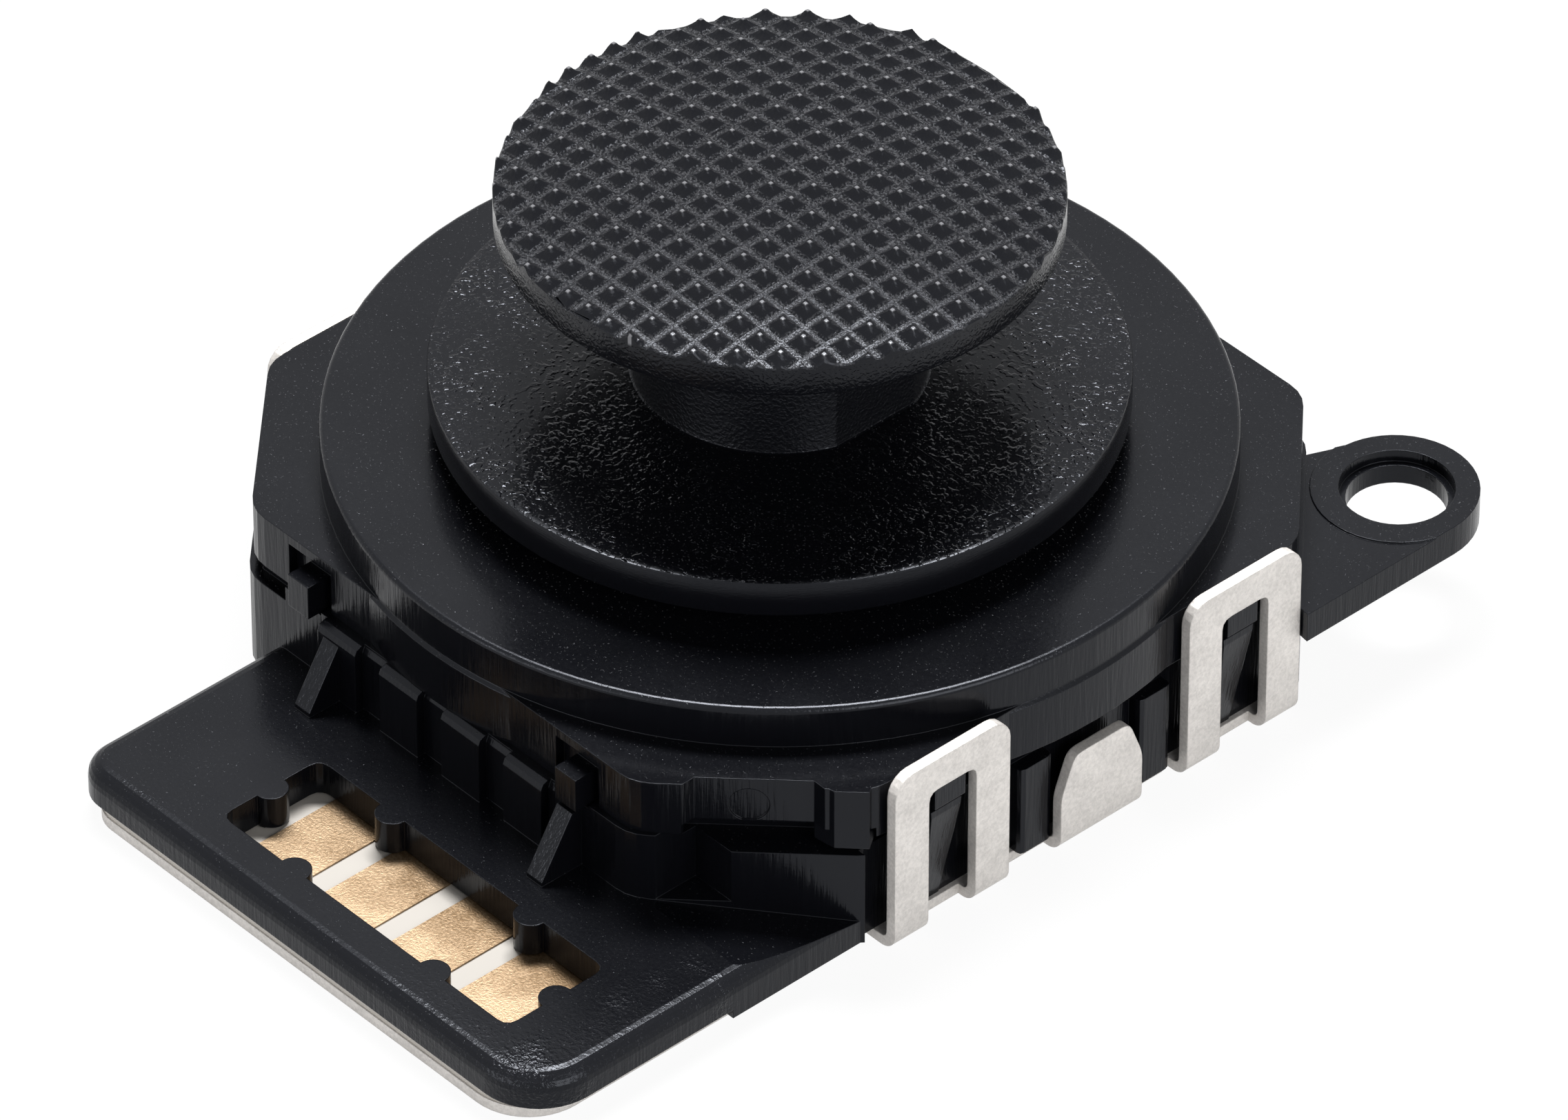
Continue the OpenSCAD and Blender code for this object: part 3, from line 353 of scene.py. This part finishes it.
class Knurl:
    """The field of blunt pyramids on the cap's dome, cut off at the rim."""

    def __init__(self, radius, top, rise, pitch, height, groove, tip, shift):
        self.radius, self.top, self.pitch, self.height = radius, top, pitch, height
        self.shift = shift
        self.dome_r = (radius ** 2 + rise ** 2) / (2 * rise)
        self.rise, self.tip = rise, tip
        self.foot = (pitch - groove) / 2
        half = [1, 0.82, 0.55, 0.3, 0.19, self.tip / self.foot]
        self.steps = [-s for s in half] + [0] + half[::-1]

    def offsets(self, x, y):
        """How far a point is from the middle of its knurl, both ways."""
        return [v - s - self.pitch * round((v - s) / self.pitch) for v, s in zip((x, y), self.shift)]

    def z(self, x, y):
        off = [abs(v) for v in self.offsets(x, y)]
        # A bead sits on the blunt tip, and the flanks sag a little
        level = max(0.0, (self.foot - max(off)) / (self.foot - self.tip))
        level = 0.86 * (level - 0.06 * math.sin(math.pi * min(1.0, level)))
        bead = max(0.0, 1.0 - (math.hypot(*off) / (2.6 * self.tip)) ** 2)
        level = min(0.86, level) + 0.14 * bead ** 0.5
        dome = self.rise - self.dome_r + math.sqrt(self.dome_r ** 2 - x * x - y * y)
        return self.top + dome + self.height * level

    def build(self, points, faces):
        """Returns the rim's points in order, counter-clockwise from above."""
        count = math.ceil(self.radius / self.pitch) + 1
        steps = [i * self.pitch + s * self.foot for i in range(-count, count + 1) for s in self.steps]
        across, along = ([s + v for v in steps if abs(s + v) < self.radius - 0.02] for s in self.shift)
        rows = []
        for y in along:
            reach = math.sqrt(self.radius ** 2 - y * y)
            kept = [i for i, x in enumerate(across) if abs(x) < reach - 0.015]
            xs = [-reach] + [across[i] for i in kept] + [reach]
            start = len(points)
            points.extend((x, y, self.z(x, y)) for x in xs)
            rows.append((start, kept, len(xs)))
        poles = []
        for y in (-self.radius, self.radius):
            poles.append(len(points))
            points.append((0.0, y, self.z(0.0, y)))
        for below, above in zip(rows, rows[1:]):
            self.strip(points, faces, below, above)
        start, _, size = rows[0]
        faces.extend((poles[0], start + k + 1, start + k) for k in range(size - 1))
        start, _, size = rows[-1]
        faces.extend((start + k, start + k + 1, poles[1]) for k in range(size - 1))
        right = [start + size - 1 for start, _, size in rows]
        left = [start for start, _, size in reversed(rows)]
        return [poles[0]] + right + [poles[1]] + left

    def strip(self, points, faces, below, above):
        shorter, longer = (below, above) if below[2] < above[2] else (above, below)
        up = shorter is below
        first, last = shorter[1][0], shorter[1][-1]

        def at(row, i):
            return row[0] + 1 + i - row[1][0]

        for i in range(first, last):
            a, b, c, d = at(below, i), at(below, i + 1), at(above, i + 1), at(above, i)
            x = (points[a][0] + points[b][0]) / 2
            y = (points[a][1] + points[d][1]) / 2
            slope = self.offsets(x, y)
            if slope[0] * slope[1] < 0:
                faces.extend(((a, b, d), (b, c, d)))
            else:
                faces.extend(((a, b, c), (a, c, d)))
        left = list(range(at(longer, first), longer[0] - 1, -1))
        right = list(range(at(longer, last), longer[0] + longer[2]))
        for corner, inner, fan, turned in (
                (shorter[0], at(shorter, first), left, up),
                (shorter[0] + shorter[2] - 1, at(shorter, last), right, not up)):
            triangles = [(corner, inner, fan[0])] + [(corner, a, b) for a, b in zip(fan, fan[1:])]
            faces.extend(t if turned else (t[0], t[2], t[1]) for t in triangles)


def turned(radii_heights, segments):
    """Outlines of a revolved profile."""
    made = []
    for r, z in radii_heights:
        ring = []
        for k in range(segments):
            a = 2 * math.pi * k / segments
            ring.append((r * math.cos(a), r * math.sin(a), z))
        made.append(ring)
    return made


class ModuleColours(bpy.types.PropertyGroup):
    case: bpy.props.FloatVectorProperty(
        name="Cases", description="Colour of the cases, the disc and the cap", subtype="COLOR",
        default=(0.0028, 0.003, 0.0042), min=0, max=1)
    steel: bpy.props.FloatVectorProperty(
        name="Steel", description="Colour of the base plate and its clips", subtype="COLOR",
        default=(0.66, 0.63, 0.6), min=0, max=1)
    gold: bpy.props.FloatVectorProperty(
        name="Contacts", description="Colour of the contact pads", subtype="COLOR",
        default=(0.37, 0.265, 0.165), min=0, max=1)
    film: bpy.props.FloatVectorProperty(
        name="Film", description="Colour of the circuit film", subtype="COLOR",
        default=(0.47, 0.44, 0.4), min=0, max=1)
    slider: bpy.props.FloatVectorProperty(
        name="Sliders", description="Colour of the sliders and the post", subtype="COLOR",
        default=(0.7, 0.68, 0.62), min=0, max=1)


class ModuleCap(bpy.types.PropertyGroup):
    lip: bpy.props.FloatProperty(
        name="Lip", description="Height of the underside of the cap's lip", unit="LENGTH", default=0.01232)
    lip_height: bpy.props.FloatProperty(
        name="Lip height", description="Height of the cap's lip", unit="LENGTH", default=0.00089)
    rise: bpy.props.FloatProperty(
        name="Dome", description="Rise of the dome from its rim to its middle", unit="LENGTH", default=0.0007)
    pitch: bpy.props.FloatProperty(
        name="Knurl pitch", description="Distance from knurl to knurl", unit="LENGTH", default=0.00074)
    shift_x: bpy.props.FloatProperty(
        name="Knurls along X", description="Offset of the knurls from the stick's axis", unit="LENGTH",
        default=-0.0002)
    shift_y: bpy.props.FloatProperty(
        name="Knurls along Y", description="Offset of the knurls from the stick's axis", unit="LENGTH",
        default=-0.00005)
    knurl: bpy.props.FloatProperty(
        name="Knurl height", description="Height of a knurl", unit="LENGTH", default=0.00026)
    groove: bpy.props.FloatProperty(
        name="Groove", description="Width of the groove between knurls", unit="LENGTH", default=0.00012)
    neck: bpy.props.FloatProperty(
        name="Neck", description="Diameter of the cap's neck", unit="LENGTH", default=0.00736)
    flats: bpy.props.FloatProperty(
        name="Flats", description="Distance across the neck's two flats", unit="LENGTH", default=0.0069)


class ModuleStage(bpy.types.PropertyGroup):
    azimuth: bpy.props.FloatProperty(
        name="Azimuth", description="Side that the camera stands on", subtype="ANGLE",
        default=math.radians(47.83))
    elevation: bpy.props.FloatProperty(
        name="Elevation", description="Height of the camera over the horizon", subtype="ANGLE",
        default=math.radians(38.53))
    distance: bpy.props.FloatProperty(
        name="Distance", description="Distance from the camera to the stick", subtype="DISTANCE",
        unit="LENGTH", default=0.361, min=0.1)
    key: bpy.props.FloatProperty(
        name="Key", description="Power of the light on the clip side", subtype="POWER", default=0.36, min=0)
    top: bpy.props.FloatProperty(
        name="Top", description="Power of the light over the stick", subtype="POWER", default=1.05, min=0)


class MODULE_OT_cap(bpy.types.Operator):
    """Dress the thumb cap"""
    bl_idname = "module.cap"
    bl_label = "Thumb cap"

    def execute(self, context):
        c = context.scene.module_colours
        shape = context.scene.module_cap
        lip_r = CAP_HIGH[0]
        low, neck_r, flat = CAP_LOW[2], shape.neck / 2 / MM, shape.flats / 2 / MM
        lip_low = shape.lip / MM
        lip_top = lip_low + shape.lip_height / MM
        knurl = Knurl(lip_r - 0.03, lip_top, shape.rise / MM, shape.pitch / MM, shape.knurl / MM,
                      shape.groove / MM, 0.04, (shape.shift_x / MM, shape.shift_y / MM))
        points, faces = [], []
        rim = knurl.build(points, faces)
        angles = [math.atan2(points[k][1], points[k][0]) for k in rim]

        def circle(r, z, drop=None):
            return [(r * math.cos(a), r * math.sin(a), z if drop is None else points[k][2] - drop)
                    for a, k in zip(angles, rim)]

        def neck(r, z):
            made = []
            for a in angles:
                reach = min(r, flat * r / neck_r / max(1e-6, abs(math.cos(a))))
                made.append((reach * math.cos(a), reach * math.sin(a), z))
            return made

        outlines = [circle(lip_r, 0, 0.04), circle(lip_r, lip_top - 0.08), circle(lip_r, lip_low + 0.14),
                    circle(lip_r - 0.04, lip_low + 0.05), circle(lip_r - 0.16, lip_low),
                    circle(neck_r + 0.5, lip_low), circle(neck_r + 0.16, lip_low - 0.1),
                    neck(neck_r + 0.02, lip_low - 0.3), neck(neck_r, low + 0.06),
                    neck(neck_r + 0.015, low + 0.02), neck(neck_r + 0.06, low)]
        # Each outline hangs below the one before, so its faces turn the other way
        rings(points, faces, rim, outlines)
        obj = shown("ThumbCap", points, faces, "stick", 28)
        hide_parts("thumb_cap")
        dress(obj, plastic("CapPlastic", c.case, 0.22, cap_relief(shape)))
        return {"FINISHED"}


class MODULE_OT_disc(bpy.types.Operator):
    """Dress the cover disc"""
    bl_idname = "module.disc"
    bl_label = "Cover disc"

    def execute(self, context):
        c = context.scene.module_colours
        r, low, top = DISC_HIGH[0], DISC_LOW[2], DISC_HIGH[2]
        e = 0.09
        profile = [(0.01, top), (3.0, top), (r - 2 * e, top), (r - e, top - 0.01), (r - 0.3 * e, top - 0.3 * e),
                   (r, top - e), (r, low + e), (r - 0.3 * e, low + 0.3 * e), (r - e, low), (r - 0.6, low),
                   (r - 0.9, top - 0.6), (3.8, top - 0.6), (3.5, low), (0.01, low)]
        points, faces = [], []
        rings(points, faces, None, turned(profile, 256))
        # The fine raised seam along the disc's top
        start = len(points)
        for x in (4.63, 8.48):
            points.extend([(x, 0.11, top - 0.01), (x, 0.15, top + 0.022), (x, 0.19, top - 0.01)])
        faces.extend([(start, start + 3, start + 4, start + 1), (start + 1, start + 4, start + 5, start + 2),
                      (start, start + 1, start + 2), (start + 3, start + 5, start + 4)])
        obj = shown("CoverDisc", points, faces, "stick")
        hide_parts("cover_disc")
        dress(obj, plastic("DiscPlastic", c.case, 0.2, disc_relief))
        return {"FINISHED"}


class MODULE_OT_cases(bpy.types.Operator):
    """Dress the two case halves"""
    bl_idname = "module.cases"
    bl_label = "Cases"

    def execute(self, context):
        c = context.scene.module_colours
        case = plastic("HousingPlastic", c.case, 0.2, case_relief, 0.035)
        for node in ("upper_case", "lower_case"):
            dress(NODES[node], case)
        return {"FINISHED"}


class MODULE_OT_plate(bpy.types.Operator):
    """Dress the steel base plate"""
    bl_idname = "module.plate"
    bl_label = "Base plate"

    def execute(self, context):
        dress(NODES["base_plate"], steel("SheetSteel", context.scene.module_colours.steel))
        return {"FINISHED"}


class MODULE_OT_contacts(bpy.types.Operator):
    """Dress the circuit film and its contact pads"""
    bl_idname = "module.contacts"
    bl_label = "Contacts"

    def execute(self, context):
        c = context.scene.module_colours
        dress(NODES["circuit_film"], plain("FilmCoat", c.film, 0.5))
        pads = gold("PadGold", c.gold)
        for node in NODES:
            if node.startswith("contact_pad"):
                dress(NODES[node], pads)
        return {"FINISHED"}


class MODULE_OT_inside(bpy.types.Operator):
    """Dress the sliders, wipers, springs and tracks inside the cases"""
    bl_idname = "module.inside"
    bl_label = "Inside"

    def execute(self, context):
        c = context.scene.module_colours
        slippery = plain("SliderPlastic", c.slider, 0.35)
        wire = plain("SpringWire", (0.6, 0.6, 0.6), 0.25, 1.0)
        brass = plain("WiperMetal", c.gold, 0.3, 1.0)
        carbon = plain("TrackCarbon", (0.03, 0.03, 0.03), 0.6)
        for node, material in (
                ("stick_post", slippery), ("x_slider", slippery), ("y_slider", slippery),
                ("x_spring", wire), ("y_spring", wire), ("x_wiper", brass), ("y_wiper", brass),
                ("x_collector", brass), ("y_collector", brass), ("x_track", carbon), ("y_track", carbon)):
            dress(NODES[node], material)
        return {"FINISHED"}


def soft_light(name, energy, size, place, aim, colour=(1, 1, 1)):
    data = bpy.data.lights.new(name, "AREA")
    data.shape = "RECTANGLE"
    data.size, data.size_y = size
    data.energy = energy
    data.color = colour
    light = bpy.data.objects.new(name, data)
    light.location = place
    light.rotation_euler = (Vector(aim) - Vector(place)).to_track_quat("-Z", "Y").to_euler()
    bpy.context.collection.objects.link(light)
    return light


class MODULE_OT_stage(bpy.types.Operator):
    """Set the pale floor, the soft lights and the camera"""
    bl_idname = "module.stage"
    bl_label = "Stage"

    def execute(self, context):
        scene = context.scene
        stage = scene.module_stage
        self.world(scene)
        self.floor()
        self.lights(stage)
        self.camera(scene, stage)
        scene.view_settings.view_transform = "Standard"
        return {"FINISHED"}

    @staticmethod
    def world(scene):
        world = bpy.data.worlds.new("Studio")
        scene.world = world
        world.use_nodes = True
        tree = world.node_tree
        tree.nodes.clear()
        path = tree.nodes.new("ShaderNodeLightPath")
        seen = tree.nodes.new("ShaderNodeBackground")
        seen.inputs["Color"].default_value = (1, 1, 1, 1)
        lit = tree.nodes.new("ShaderNodeBackground")
        lit.inputs["Color"].default_value = (0.8, 0.88, 1.0, 1)
        lit.inputs["Strength"].default_value = 0.03
        mix = tree.nodes.new("ShaderNodeMixShader")
        out = tree.nodes.new("ShaderNodeOutputWorld")
        rays = [path.outputs[name] for name in ("Is Camera Ray", "Is Glossy Ray", "Is Transmission Ray")]
        either = rays[0]
        for ray in rays[1:]:
            both = tree.nodes.new("ShaderNodeMath")
            both.operation = "MAXIMUM"
            tree.links.new(either, both.inputs[0])
            tree.links.new(ray, both.inputs[1])
            either = both.outputs[0]
        tree.links.new(either, mix.inputs[0])
        tree.links.new(lit.outputs[0], mix.inputs[1])
        tree.links.new(seen.outputs[0], mix.inputs[2])
        tree.links.new(mix.outputs[0], out.inputs["Surface"])

    @staticmethod
    def floor():
        mesh = bpy.data.meshes.new("Floor")
        half = 0.6
        mesh.from_pydata([(-half, -half, -0.00002), (half, -half, -0.00002), (half, half, -0.00002), (-half, half, -0.00002)],
                         [], [(0, 1, 2, 3)])
        obj = bpy.data.objects.new("Floor", mesh)
        bpy.context.collection.objects.link(obj)
        s = Shader("FloorPaper")
        paper = s.node("ShaderNodeBsdfDiffuse", None, {"Color": (0.8, 0.8, 0.8, 1)})["BSDF"]
        white = s.node("ShaderNodeEmission", None, {"Color": (1, 1, 1, 1), "Strength": 1.0})["Emission"]
        path = s.node("ShaderNodeLightPath")
        seen = path["Is Camera Ray"].larger(path["Is Glossy Ray"]).larger(path["Is Transmission Ray"])
        both = s.node("ShaderNodeMixShader", None, [seen * 0.94, paper, white])["Shader"]
        s.node("ShaderNodeOutputMaterial", None, {"Surface": both})
        dress(obj, s.material)

    @staticmethod
    def lights(stage):
        aim = (0, 0, 0.006)
        for light in (
                soft_light("KeyRight", stage.key, (0.2, 0.14), (0.24, -0.02, 0.1), aim),
                soft_light("TopBack", stage.top, (0.13, 0.05), (-0.066, 0.06, 0.23), aim),
                soft_light("FrontLow", 0.16, (0.2, 0.05), (-0.02, -0.25, 0.06), aim),
                soft_light("FrontFill", 0.04, (0.2, 0.2), (0.02, -0.25, 0.2), aim)):
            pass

    @staticmethod
    def camera(scene, stage):
        az, el = stage.azimuth, stage.elevation
        back = Vector((math.sin(az) * math.cos(el), -math.cos(az) * math.cos(el), math.sin(el)))
        right = Vector((math.cos(az), math.sin(az), 0))
        up = back.cross(right)
        target = Vector((0, 0, 0.008))
        eye = target + back * stage.distance
        aim = target - up * 0.00498 + right * 0.0001
        data = bpy.data.cameras.new("Camera")
        data.lens = 337.4
        data.sensor_width = 36
        data.clip_start = 0.01
        camera = bpy.data.objects.new("Camera", data)
        z = (eye - aim).normalized()
        x = up.cross(z).normalized()
        y = z.cross(x)
        camera.matrix_world = Matrix((
            (x.x, y.x, z.x, eye.x), (x.y, y.y, z.y, eye.y), (x.z, y.z, z.z, eye.z), (0, 0, 0, 1)))
        scene.collection.objects.link(camera)
        scene.camera = camera


class MODULE_PT_panel(bpy.types.Panel):
    bl_idname = "MODULE_PT_panel"
    bl_label = "Thumbstick module"
    bl_space_type = "VIEW_3D"
    bl_region_type = "UI"
    bl_category = "Thumbstick"

    def draw(self, context):
        column = self.layout.column()
        scene = context.scene
        for group in (scene.module_colours, scene.module_cap, scene.module_stage):
            for name in group.__annotations__:
                column.prop(group, name)
        for operator in OPERATORS:
            column.operator(operator.bl_idname)


OPERATORS = (MODULE_OT_cap, MODULE_OT_disc, MODULE_OT_cases, MODULE_OT_plate, MODULE_OT_contacts,
             MODULE_OT_inside, MODULE_OT_stage)
CLASSES = (ModuleColours, ModuleCap, ModuleStage, *OPERATORS, MODULE_PT_panel)


def register():
    for cls in CLASSES:
        bpy.utils.register_class(cls)
    bpy.types.Scene.module_colours = bpy.props.PointerProperty(type=ModuleColours)
    bpy.types.Scene.module_cap = bpy.props.PointerProperty(type=ModuleCap)
    bpy.types.Scene.module_stage = bpy.props.PointerProperty(type=ModuleStage)


def unregister():
    del bpy.types.Scene.module_colours
    del bpy.types.Scene.module_cap
    del bpy.types.Scene.module_stage
    for cls in reversed(CLASSES):
        bpy.utils.unregister_class(cls)


def main():
    register()
    bpy.ops.module.cap()
    bpy.ops.module.disc()
    bpy.ops.module.cases()
    bpy.ops.module.plate()
    bpy.ops.module.contacts()
    bpy.ops.module.inside()
    bpy.ops.module.stage()


if __name__ == "__main__":
    main()
